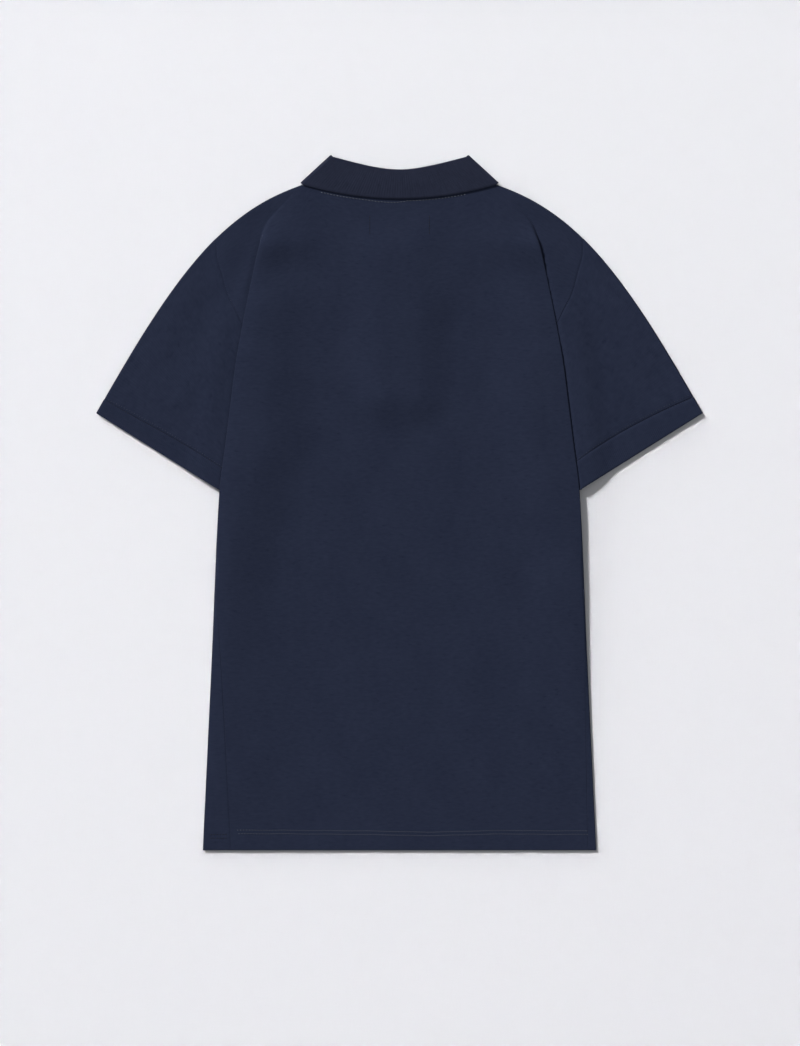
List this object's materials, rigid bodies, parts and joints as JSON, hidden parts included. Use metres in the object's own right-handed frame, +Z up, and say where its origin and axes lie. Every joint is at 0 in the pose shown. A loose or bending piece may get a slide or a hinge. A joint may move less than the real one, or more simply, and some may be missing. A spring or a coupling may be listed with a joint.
{
  "type": "polo shirt",
  "caption": "Short-sleeved knit polo shirt laid flat face down, with a folded rib collar, rib cuffs, a front placket and the sides tucked in under the arms.",
  "frame": {"origin": "middle of the laid shirt's length and width, on the surface it lies on", "axes": "+Y up the shirt from the hem to the collar, +Z up from the surface, with the shirt's back uppermost, +X across it towards the wearer's right"},
  "size_m": [0.643, 0.7366, 0.0088],
  "materials": {
    "jersey": "matt navy jersey knit",
    "rib": "matt navy rib knit, fine ribs",
    "buttons": "satin navy resin"
  },
  "bodies": {
    "root": {"back_panel": "jersey", "front_panel": "jersey", "sleeve_left": "jersey", "sleeve_right": "jersey", "cuff_left": "rib", "cuff_right": "rib", "collar": "rib", "placket_upper": "jersey", "placket_lower": "jersey", "button_1": "buttons", "button_2": "buttons", "button_3": "buttons"}
  },
  "joints": []
}
